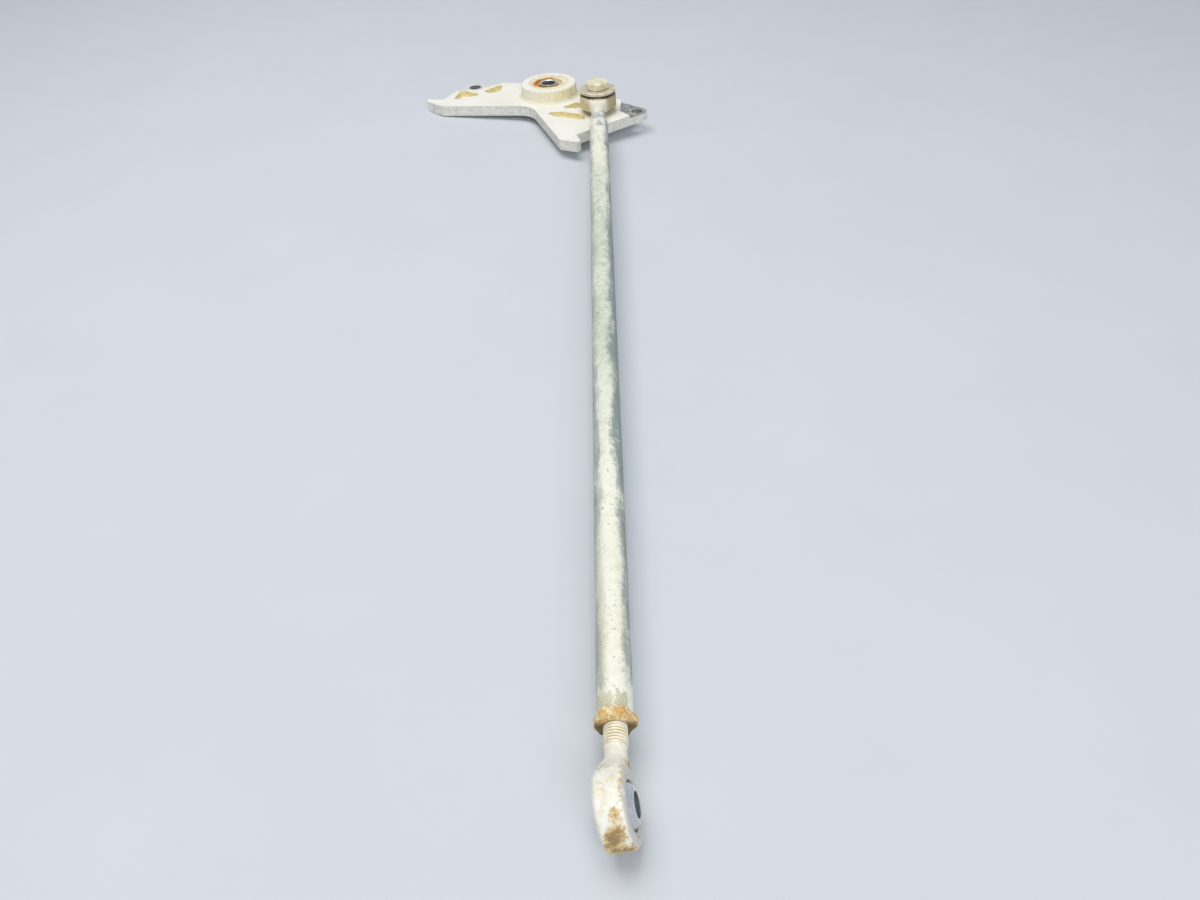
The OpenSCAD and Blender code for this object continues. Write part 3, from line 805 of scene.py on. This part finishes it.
def far_finish():
    """Tan plating with a dark right flank, painted shade in dark brown under the washer and a cream neck."""
    f = Finish("tan_forging")
    patch, grain = f.noise(2.4, 1.0, 5.0, 0.65), f.noise(0.5, 2.0, 4.0, 0.7)
    x, y, z = f.axes()
    ex, ey, ez = (float(v) for v in far_eye / MM)
    colour = f.mix(patch.step(0.36, 0.62), (0.74, 0.66, 0.45), (0.58, 0.47, 0.24))
    flank = (x + patch * 5.0).step(ex + 6.2, ex + 8.6) * y.step(ey - 11.5, ey - 8.5)
    colour = f.mix(flank * 0.8, colour, f.mix(grain, (0.34, 0.27, 0.15), (0.52, 0.43, 0.27)))
    off = (x * x + y * y - x * (2 * ex) - y * (2 * ey) + (ex * ex + ey * ey)) ** 0.5
    # Painted shade: dark brown on the eye's top next to the washer, where the gap between them lies in shade.
    shade = (z + patch * 1.2).step(ez + 3.45, ez + 4.25) * off.step(10.2, 9.9)
    colour = f.mix(shade * 0.92, colour, (0.12, 0.08, 0.04))
    neck = (y + patch * 3.0).step(ey - 6.4, ey - 9.0) * (f.vector("ABSOLUTE", f.vector(
        "SUBTRACT", f.place, (ex, ey, ez)))).part(0).step(5.6, 3.6)
    colour = f.mix(neck, colour, f.mix(grain.step(0.35, 0.7), (0.87, 0.85, 0.76), (0.78, 0.73, 0.57)))
    colour = f.mix(grain.step(0.62, 0.76) * 0.5, colour, (0.26, 0.18, 0.08))
    return f.done(colour, 0.48 + grain * 0.25, 0.25, patch * 0.5 + grain * 0.5, 0.07)


dress(far_end, "push_rod", far_finish(), ["far_rod_end"])

# %% [markdown]
# ## Steel that hardly shows
# The far race and ball sit between the washers, and the threaded plug is inside the tube.
# Their solids are right already, so they keep their meshes and only take a worn steel.
# Balls are polished by their races, so both balls get the smoother one.

# %% Finish the races and balls
race = worn_steel("race_steel", (0.30, 0.30, 0.30), (0.60, 0.61, 0.62), 0.25)
ball = worn_steel("ball_steel", (0.48, 0.49, 0.51), (0.74, 0.75, 0.77), 0.12)
for node, finish in (("far_race", race), ("threaded_insert", race), ("far_ball", ball), ("near_ball", ball)):
    show_node(node, finish)

# %% [markdown]
# ## The tube
# The push rod is a long light-alloy tube. Its coat is pale grey green, chalky along the top with a painted
# highlight there, with dark streaks and painted shade down both flanks; it has flaked at the swaged far end and
# chipped off near the nut.
# The coat has a thickness, so the chips are steps in the surface: a grid around and along the tube,
# whose radius drops where the coat is gone. The same field is stored for the finish.

# %% Shape the tube
TUBE_R, SWAGE_R, TUBE_BORE, SWAGE_BORE = 4.7625, 3.95, 3.87, 3.06
SWAGE_END, TAPER_END, COAT, TUBE_AROUND = 27.0, 37.0, 0.09, 84
FAR_START, NEAR_START = 23.0, 26.1
tube_from, tube_to = FAR_START, rod_len / MM - NEAR_START


def smooth_step(v, low, high):
    """0 below low, 1 above high, t * t * (3 - 2 t) between."""
    t = np.clip((np.asarray(v, float) - low) / (high - low), 0.0, 1.0)
    return t * t * (3.0 - 2.0 * t)


def lost_coat(s, turn_round, p):
    """Lumps, drawn long, against a level that is high only in the last millimetres by the nut,
    except on the right edge, and a little by the swage; above 0 the coat is gone."""
    kept_edge = smooth_step(np.cos(turn_round), 0.66, 0.80)
    by_nut = smooth_step(s, tube_to - 9.0, tube_to - 1.5) * (1.0 - kept_edge)
    by_swage = smooth_step(s, 80.0, 40.0) * 0.36
    long_lumps = lumps(p * np.array([1.0, 0.42, 1.0]), 2.4, 21, 4)
    return 1.7 * (long_lumps - 0.5) - 0.5 + np.maximum(by_nut, by_swage)


def tube_skin():
    """Radius r(s) = swage, cone, tube; minus the coat's thickness where it is lost."""
    s = np.concatenate([np.linspace(tube_from, 45.0, 70, endpoint=False),
                        np.linspace(45.0, tube_to - 36.0, 560, endpoint=False),
                        np.linspace(tube_to - 36.0, tube_to, 160)])
    around = np.linspace(0, 2 * np.pi, TUBE_AROUND, endpoint=False)
    sg, ag = np.meshgrid(s, around, indexing="ij")
    r = SWAGE_R + (TUBE_R - SWAGE_R) * np.clip((sg - SWAGE_END) / (TAPER_END - SWAGE_END), 0, 1)
    p = np.stack([r * np.cos(ag), sg, r * np.sin(ag)], -1).reshape(-1, 3)
    bare = lost_coat(sg.ravel(), ag.ravel(), p)
    r = r - COAT * smooth_step(bare, -0.015, 0.015).reshape(r.shape)
    r = r - 0.05 * (lumps(p, 9.0, 33, 2).reshape(r.shape) - 0.5)
    outer = rod_point(sg, r * np.cos(ag), r * np.sin(ag))
    s_in = np.array([tube_to, TAPER_END, SWAGE_END, tube_from])
    r_in = np.array([TUBE_BORE, TUBE_BORE, SWAGE_BORE, SWAGE_BORE])
    si, ai = np.meshgrid(s_in, around, indexing="ij")
    inner = rod_point(si, r_in[:, None] * np.cos(ai), r_in[:, None] * np.sin(ai))
    rows = len(s) + len(s_in)
    obj = surface("tube_coat", np.concatenate([outer, inner]), grid_quads(rows, TUBE_AROUND, True, True))
    pad = np.zeros(si.size)
    keep_mask(obj.data, "bare", np.concatenate([bare, pad]))
    keep_mask(obj.data, "flank", np.concatenate([np.cos(ag).ravel(), pad]))
    keep_mask(obj.data, "top", np.concatenate([np.sin(ag).ravel(), pad]))
    keep_mask(obj.data, "along", np.concatenate([sg.ravel(), pad]))
    obj.data.set_sharp_from_angle(angle=np.radians(60.0))
    return obj


tube = tube_skin()
print("tube points", len(tube.data.vertices))

# %% [markdown]
# ## The tube's coat
# The coat has aged unevenly: green grey by the crank, cream on top nearer the eye, dark along the flanks
# with a teal stain on the right, tan on the left by the nut. The cream on top is partly a painted highlight,
# and the dark flanks are partly painted shade. The flank, the top and the distance along the rod were stored
# with the mesh, so each stain and each painted highlight or shade is a sum of those masks and noise drawn out
# along the rod.

# %% Finish the tube


def tube_finish():
    """Chalky grey-green coat, cream on top with a painted highlight, dark flanks with painted shade, white flakes,
    olive grey where it is gone.
    """
    f = Finish("chalky_tube_coat")
    bare, flank, top, along = (f.mask(k) for k in ("bare", "flank", "top", "along"))
    streak = f.noise(2.2, 1.0, 6.0, 0.7, f.stretched(1.0, 0.10, 1.0))
    smear = f.noise(2.0, 2.0, 6.0, 0.7, f.stretched(1.0, 0.16, 1.0))
    broad = f.noise(12.0, 3.0, 4.0, 0.55, f.stretched(1.5, 0.55, 1.5))
    mottle, grain = f.noise(2.6, 4.0, 8.0, 0.78), f.noise(0.5, 5.0, 4.0, 0.8)
    blotch = f.noise(4.5, 8.0, 7.0, 0.72, f.stretched(1.0, 0.5, 1.0))
    coat = f.mix((mottle * 0.6 + broad * 0.4).step(0.40, 0.58), (0.73, 0.77, 0.65), (0.54, 0.60, 0.50))
    chalk_and_sheen = f.mix(mottle.step(0.4, 0.62), (0.89, 0.89, 0.78), (0.80, 0.80, 0.66))
    pale = along.step(125.0, 70.0) * blotch.step(0.30, 0.42)
    # The cream strip along the top is partly a cleaner top and partly a painted highlight from the light overhead.
    ridge = along.step(225.0, 345.0) * (top + (streak - 0.5) * 0.9 + (mottle - 0.5) * 0.6).step(0.66, 0.88)
    colour = f.mix((pale + ridge).step(0.0, 1.0), coat, chalk_and_sheen)
    dull = blotch.step(0.53, 0.62) * along.step(340.0, 180.0) * (0.35 + along.step(40.0, 120.0) * 0.4)
    colour = f.mix(dull, colour, (0.46, 0.50, 0.45))
    tan = along.step(330.0, 395.0) * (flank + (smear - 0.5) * 1.6 + (mottle - 0.5) * 1.6).step(-0.25, -0.65)
    colour = f.mix(tan * 0.75, colour, f.mix(grain.step(0.35, 0.65), (0.74, 0.69, 0.54), (0.52, 0.48, 0.38)))
    rough_edge = (grain - 0.5) * 1.1 + (mottle - 0.5) * 1.7
    stained = along.step(120.0, 190.0) * along.step(365.0, 300.0)
    sooty = along.step(225.0, 275.0) * along.step(385.0, 345.0)
    # The dark flanks are partly real streaks and grime and partly painted shade along both sides of the tube.
    right_grime_and_shade = (flank + stained * 0.2 + (streak - 0.5) * 1.2 + (broad - 0.5) * 1.6
                   + rough_edge).step(0.42, 1.06)
    left_grime_and_shade = (sooty * 0.2 - flank + (smear - 0.5) * 1.4 + (broad - 0.5) * 1.2
                  + rough_edge).step(0.54, 1.17)
    end_white = (flank + (mottle - 0.5) * 1.1 + (grain - 0.5) * 0.5).step(0.68, 0.80) * (
        along + (mottle - 0.5) * 30.0 + (streak - 0.5) * 24.0).step(tube_to - 10.0, tube_to - 6.0)
    soot_and_shade = f.mix((mottle * 0.5 + grain * 0.5).step(0.36, 0.62), (0.055, 0.085, 0.105), (0.31, 0.35, 0.34))
    soot_and_shade = f.mix(stained * smear.step(0.40, 0.60) * 0.7, soot_and_shade, (0.15, 0.25, 0.27))
    colour = f.mix(right_grime_and_shade * (1 - end_white) * 0.9, colour, soot_and_shade)
    left_soot_and_shade = f.mix(mottle.step(0.38, 0.6), (0.15, 0.18, 0.175), (0.42, 0.44, 0.39))
    colour = f.mix(left_grime_and_shade * 0.8, colour, left_soot_and_shade)
    colour = f.mix((f.flecks(0.8, 6.0, 5.0, 0.55) + f.flecks(1.8, 9.0, 7.0, 0.50)).step(0.0, 1.0) * 0.7,
                   colour, f.mix(grain, (0.16, 0.18, 0.17), (0.36, 0.37, 0.33)))
    ragged = bare + (grain - 0.5) * 0.24
    flakes = ragged.step(-0.42, -0.2) * along.step(tube_to - 13.0, tube_to - 8.0)
    white = (flakes * (mottle + grain).step(0.92, 1.04) + end_white).step(0.0, 1.0)
    flake_white = f.mix(mottle.step(0.45, 0.6), (0.92, 0.91, 0.87), (0.80, 0.79, 0.72))
    colour = f.mix(white * 0.92, colour, flake_white)
    gone = ragged.step(-0.02, 0.02)
    far_grey = f.mix(mottle.step(0.42, 0.58), (0.42, 0.46, 0.49), (0.64, 0.66, 0.64))
    olive = f.mix((mottle * 0.5 + grain * 0.5).step(0.42, 0.60), (0.70, 0.67, 0.51), (0.52, 0.49, 0.36))
    colour = f.mix(gone, colour, f.mix(along.step(200.0, 380.0), far_grey, olive))
    return f.done(colour, 0.42 + grain * 0.3, gone * 0.3, mottle * 0.5 + grain * 0.5, 0.12)


dress(tube, "push_rod", tube_finish(), ["rod_tube"])

# %% [markdown]
# ## The near rod end's thread
# The shank of the near eye screws into the tube. A bump could hint at its thread, but the outline would
# stay straight, so it is a real screw surface: the radius depends on the distance minus the turn,
# and the ridge climbs one pitch per turn.

# %% Cut the thread
PITCH, CREST_R, ROOT_R = 0.907, 3.14, 2.70
THREAD_FROM, THREAD_TO = 16.3, 29.0
THREAD_AROUND, STEPS_A_PITCH = 72, 10


def shank_thread():
    """r = root + (crest - root) * smoothed triangle wave of (t / pitch - turn), fading in at the neck."""
    t = np.arange(THREAD_FROM, THREAD_TO, PITCH / STEPS_A_PITCH)
    around = np.linspace(0, 2 * np.pi, THREAD_AROUND, endpoint=False)
    tg, ag = np.meshgrid(t, around, indexing="ij")
    phase = (tg / PITCH - ag / (2 * np.pi)) % 1.0
    ridge = smooth_step(1.0 - np.abs(2.0 * phase - 1.0), 0.06, 0.62)
    fade = smooth_step(tg, THREAD_FROM + 0.2, THREAD_FROM + 1.4)
    r = ROOT_R + 0.2 * (1 - fade) + (CREST_R - ROOT_R) * ridge * fade
    r[[0, -1]] = 0.0
    r[[1, -2]] = ROOT_R
    s = rod_len / MM - tg
    return surface("near_shank_thread", rod_point(s, r * np.cos(ag), r * np.sin(ag)),
                   grid_quads(len(t), THREAD_AROUND, False, True), weld=True)


thread = shank_thread()
print("thread turns", round((THREAD_TO - THREAD_FROM) / PITCH, 1))

# %% [markdown]
# ## The near eye's forging
# The eye and its shank are one forging, turned on its side, so the pale rim faces the viewer and the
# bearing faces right. The voxel skin gives it soft shoulders. Where the thread is cut, the shank shrinks
# to its core, so that the ridges are the only surface seen there.

# %% Shape the near eye
near_end = softened("near_eye_forging", "near_rod_end", 0.25, 7)


def slim_shank(mesh):
    """Where the thread is cut the forging keeps only its core, just under the thread's root."""
    p = (points_of(mesh) - near_eye) / MM
    along, across, r = about_rod(p)
    core = np.minimum(r, ROOT_R - 0.08)
    share = smooth_step(p @ -rod_dir, THREAD_FROM + 0.1, THREAD_FROM + 0.5)
    factor = np.where(r > 1e-6, (r + (core - r) * share) / np.maximum(r, 1e-6), 1.0)
    set_points(mesh, near_eye + MM * (along + across * factor[:, None]))


slim_shank(near_end.data)
print("near eye points", len(near_end.data.vertices))

# %% [markdown]
# ## The near eye's plating
# The plating is cream, with brown rust in known places: low on the rim, under its edge and at the neck.
# So the rust isn't left to chance: a list gives each spot by its angle on the rim, its distance across and
# its size, and noise only frays the edges.

# %% Finish the near eye
HEAD_R, HEAD_HALF_T = 9.9, 3.9
eye_back = -rod_dir
eye_up = unit(np.cross(near_axis, eye_back))
if eye_up[2] < 0:
    eye_up = -eye_up


def on_rim(angle, across, out=HEAD_R):
    """A place on the rim: angle from the shank over the top to the front, across the rim in mm."""
    a = np.radians(angle)
    return near_eye / MM + out * (np.cos(a) * eye_back + np.sin(a) * eye_up) + across * near_axis


RUST_SPOTS = [(131, 1.4, 1.9), (158, 0.6, 2.3), (168, -0.4, 2.2), (188, -2.2, 1.7), (192, 0.4, 1.8),
              (196, 2.4, 1.5), (6, 3.3, 1.7), (26, 3.7, 1.2), (72, 3.7, 0.8), (88, 3.7, 0.8),
              (215, -1.0, 2.6)]


def near_finish():
    """Cream plating, rust about the listed spots, grey worn face on the bearing's side."""
    f = Finish("cream_plating")
    blotch, patch = f.noise(3.6, 7.0, 5.0, 0.65), f.noise(1.7, 1.0, 7.0, 0.75)
    grain = f.noise(0.45, 2.0, 4.0, 0.8)
    colour = f.mix((blotch * 0.5 + patch * 0.5).step(0.40, 0.60), (0.91, 0.90, 0.83), (0.83, 0.79, 0.65))
    colour = f.mix((patch + grain * 0.5).step(0.78, 0.96) * 0.65, colour, (0.62, 0.54, 0.36))
    grey = f.near(on_rim(48, -2.0), 0.8, 4.2) * (grain + patch).step(0.88, 1.12)
    colour = f.mix(grey * 0.8, colour, (0.46, 0.41, 0.31))
    spots = [f.near(on_rim(angle, across), 0.0, size * 1.9) for angle, across, size in RUST_SPOTS]
    cover = sum(spots[1:], spots[0]) + (blotch - 0.5) * 1.6
    rusty = (cover + (patch - 0.5) * 2.0 + (grain - 0.5) * 1.2).step(0.26, 0.72)
    heart = (cover + (patch - 0.5) * 2.6 + (grain - 0.5) * 2.0).step(0.72, 1.4)
    orange = f.mix(patch.step(0.4, 0.62), (0.76, 0.58, 0.27), (0.56, 0.36, 0.13))
    colour = f.mix(rusty * 0.92, colour, orange)
    colour = f.mix(heart * 0.8, colour, (0.27, 0.16, 0.07))
    height = f.place.part(2) + (patch - 0.5) * 2.0
    low = height.step(float(near_eye[2] / MM) - 7.4, float(near_eye[2] / MM) - 8.8)
    colour = f.mix(low * 0.85, colour, f.mix(grain, (0.46, 0.25, 0.10), (0.24, 0.11, 0.04)))
    face = f.vector("DOT_PRODUCT", f.vector("SUBTRACT", f.place, near_eye / MM),
                    near_axis, out=1)
    rim = face.step(HEAD_HALF_T - 1.5, HEAD_HALF_T - 0.9) * face.step(HEAD_HALF_T - 0.25, HEAD_HALF_T - 0.6)
    colour = f.mix(rim * (patch + (grain - 0.5) * 0.5).step(0.44, 0.58) * 0.8, colour, (0.42, 0.28, 0.13))
    worn = face.step(HEAD_HALF_T - 0.75, HEAD_HALF_T - 0.35) * (1 - rusty) * blotch.step(0.3, 0.5)
    colour = f.mix(worn * 0.8, colour, f.mix(grain, (0.48, 0.47, 0.44), (0.74, 0.73, 0.69)))
    colour = f.mix(grain.step(0.6, 0.76) * 0.4, colour, (0.44, 0.34, 0.19))
    return f.done(colour, 0.42 + grain * 0.25 + rusty * 0.25, worn * 0.5, patch * 0.6 + grain * 0.4, 0.16)


dress(near_end, "push_rod", near_finish(), ["near_rod_end"])

# %% [markdown]
# ## The thread's finish
# Ridges rub clean and roots collect dirt. The distance from the rod's axis tells them apart,
# so no mask has to be stored.


# %% Finish the thread
def thread_finish():
    """Cream ridges over yellow-brown roots, told apart by the distance from the rod's axis."""
    f = Finish("cream_thread")
    patch, grain = f.noise(1.8, 1.0, 4.0, 0.65), f.noise(0.4, 2.0, 3.0, 0.7)
    offset = f.vector("SUBTRACT", f.place, near_eye / MM)
    cross = f.vector("CROSS_PRODUCT", offset, rod_dir)
    radius = f.vector("LENGTH", cross, out=1)
    deep = radius.step(CREST_R - 0.14, ROOT_R + 0.06)
    colour = f.mix(patch.step(0.40, 0.60), (0.92, 0.89, 0.76), (0.83, 0.77, 0.57))
    colour = f.mix(grain.step(0.56, 0.70) * 0.4, colour, (0.66, 0.54, 0.30))
    colour = f.mix(deep * 0.75, colour, f.mix(patch.step(0.35, 0.65), (0.66, 0.56, 0.30), (0.42, 0.28, 0.11)))
    return f.done(colour, 0.45 + grain * 0.2, 0.15, grain * 0.5 + patch * 0.5, 0.08)


dress(thread, "push_rod", thread_finish())

# %% [markdown]
# ## The near race
# The race grips the ball. At both faces it opens in a small cone, so a dark gap shows around the ball; the cone is
# painted near black as shade.
# Its profile is a closed line: outer wall, face, cone, then the inside of the sphere and back.

# %% Turn the race
RACE_R, RACE_HALF_W, BALL_R, MOUTH_R, MOUTH_Z = 7.15, 3.6, 6.35, 6.12, 2.3
RACE_AROUND = 96


def race_ring():
    """r(u), z(u) around a closed profile, carried round the near eye's axis; inside r = sqrt(R^2 - z^2)."""
    hollow = np.linspace(MOUTH_Z, -MOUTH_Z, 17)
    z = np.concatenate([[-RACE_HALF_W, RACE_HALF_W, RACE_HALF_W], hollow, [-RACE_HALF_W]])
    r = np.concatenate([[RACE_R, RACE_R, MOUTH_R], np.sqrt((BALL_R + 0.01) ** 2 - hollow ** 2), [MOUTH_R]])
    around = np.linspace(0, 2 * np.pi, RACE_AROUND, endpoint=False)
    ag, zg = np.meshgrid(around, z, indexing="ij")
    rg = np.broadcast_to(r, ag.shape)
    p = near_eye + MM * (rg[..., None] * (np.cos(ag)[..., None] * eye_back + np.sin(ag)[..., None] * eye_up)
                         + zg[..., None] * near_axis)
    obj = surface("near_race_ring", p, grid_quads(RACE_AROUND, len(z), True, True))
    keep_mask(obj.data, "mouth", (rg < MOUTH_R - 0.05).ravel())
    obj.data.set_sharp_from_angle(angle=np.radians(30.0))
    return obj


def race_finish():
    """Worn grey face with cream left on it, the mouth painted near black as shade."""
    f = Finish("race_mouth_painted_shade")
    mouth = f.mask("mouth")
    patch, grain = f.noise(2.0, 1.0, 5.0, 0.65), f.noise(0.45, 2.0, 4.0, 0.7)
    colour = f.mix(patch.step(0.36, 0.64), (0.74, 0.72, 0.66), (0.50, 0.49, 0.46))
    colour = f.mix(grain.step(0.58, 0.74) * 0.5, colour, (0.34, 0.27, 0.16))
    # Painted shade: the mouth's cone is painted near black.
    colour = f.mix(mouth.step(0.15, 0.85), colour, (0.05, 0.047, 0.04))
    return f.done(colour, 0.4 + grain * 0.25, 0.5, grain, 0.03)


dress(race_ring(), "push_rod", race_finish(), ["near_race"])

# %% [markdown]
# ## The jam nut
# The nut that locks the near eye has rusted hard: its corners are eaten round, the lower ones most,
# its flats are scabbed, and cream plating is left only in islands.
# A voxel skin rounds it, the radius is cut back below, and lumps of lattice noise move it in and out.

# %% Shape and finish the jam nut
EATEN, NUT_T = 1.3, 3.4
nut = softened("jam_nut_rust", "jam_nut", 0.16, 9)
nut_p = points_of(nut.data) / MM


def eat_corners(mesh):
    """r - EATEN * step of the radius * step of the height: the lower corners are lost to rust."""
    along, across, r = about_rod((points_of(mesh) - far_eye) / MM)
    r = np.maximum(r, 1e-6)
    lost = EATEN * smooth_step(r, 4.0, 6.0) * smooth_step(across @ rod_lift, 0.5, -3.5)
    set_points(mesh, far_eye + MM * (along + across * (1.0 - lost / r)[:, None]))


eat_corners(nut.data)
move_out(nut.data, MM * (0.55 * (lumps(nut_p, 1.7, 41, 3) - 0.6) + 0.3 * (lumps(nut_p, 0.7, 47, 2) - 0.5)))


def nut_finish():
    """Orange and brown rust with cream islands; the lower front round the thread is darkened as painted shade."""
    f = Finish("rusted_jam_nut")
    patch, grain = f.noise(1.7, 1.0, 6.0, 0.7), f.noise(0.42, 2.0, 4.0, 0.75)
    colour = f.mix(patch.step(0.40, 0.56), (0.88, 0.78, 0.50), (0.68, 0.41, 0.13))
    colour = f.mix(f.noise(1.1, 3.0, 4.0, 0.7).step(0.54, 0.66) * 0.75, colour, (0.47, 0.26, 0.08))
    colour = f.mix(grain.step(0.55, 0.68) * 0.7, colour, (0.27, 0.15, 0.05))
    colour = f.mix(f.noise(0.7, 4.0, 4.0, 0.75).step(0.55, 0.66) * 0.75, colour, (0.92, 0.86, 0.66))
    offset = f.vector("SUBTRACT", f.place, far_eye / MM)
    along = f.vector("DOT_PRODUCT", offset, rod_dir, out=1)
    off = f.vector("LENGTH", f.vector("CROSS_PRODUCT", offset, rod_dir), out=1)
    face = along.step(tube_to + NUT_T - 0.8, tube_to + NUT_T - 0.2)
    # Painted shade: the lower front face round the thread is painted near black brown.
    dark = f.mix(grain.step(0.35, 0.7), (0.05, 0.035, 0.018), (0.19, 0.135, 0.06))
    lift = f.vector("DOT_PRODUCT", offset, rod_lift, out=1)
    under = (lift + (patch - 0.5) * 4.0).step(3.4, 1.2)
    colour = f.mix(face * under * (off + (patch - 0.5) * 3.5).step(6.8, 5.2) * 0.9, colour, dark)
    return f.done(colour, 0.8, 0.05, patch * 0.5 + grain * 0.5, 0.3)


dress(nut, "push_rod", nut_finish(), ["jam_nut"])
